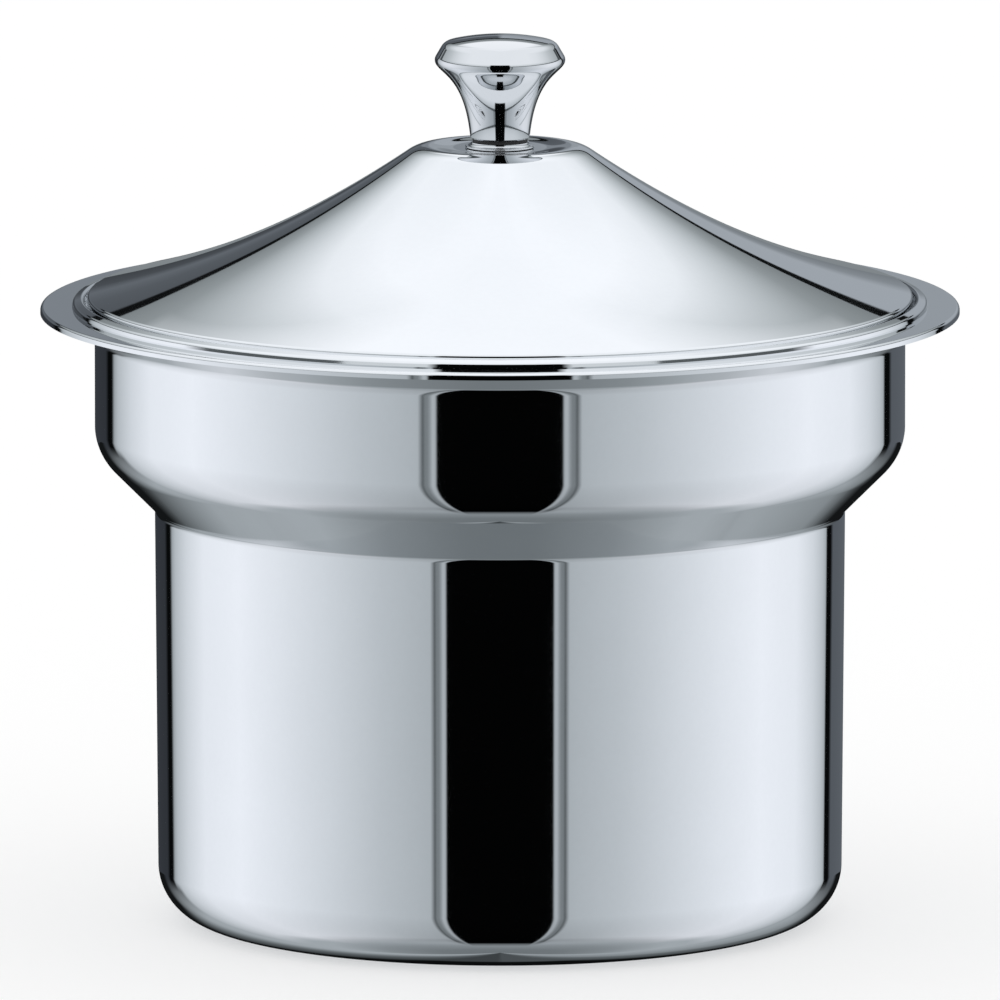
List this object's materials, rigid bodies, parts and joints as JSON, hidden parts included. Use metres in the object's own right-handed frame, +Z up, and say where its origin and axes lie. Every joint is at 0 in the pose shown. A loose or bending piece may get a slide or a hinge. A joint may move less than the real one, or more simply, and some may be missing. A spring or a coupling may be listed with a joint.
{
  "type": "buffet soup pot",
  "caption": "Stepped round steel soup pot with a wide hanging flange, and a flared lift-off lid with a mushroom knob screwed on from below.",
  "frame": {"origin": "middle of the flat underside of the pot's base, on the surface that it stands on", "axes": "+Z up along the axis of the pot, lid and knob; the pot is round, so +X and +Y are any two level directions"},
  "size_m": [0.33, 0.33, 0.3202],
  "materials": {
    "pot_steel": "mirror-polished stainless steel",
    "lid_steel": "mirror-polished stainless steel",
    "knob_steel": "mirror-polished stainless steel",
    "black_silicone": "matt black silicone",
    "fastener_steel": "plain turned and stamped steel"
  },
  "bodies": {
    "pot": {"pot_shell": "pot_steel"},
    "lid": {"lid_shell": "lid_steel", "knob": "knob_steel", "knob_spacer": "black_silicone", "knob_foot": "knob_steel", "foot_seal": "black_silicone", "plain_washer": "fastener_steel", "lock_washer": "fastener_steel", "knob_screw": "fastener_steel"}
  },
  "joints": [
    {"name": "lid_lift", "type": "slide", "parent": "pot", "child": "lid", "axis": [0, 0, 1], "range_m": [0, 0.12]}
  ]
}
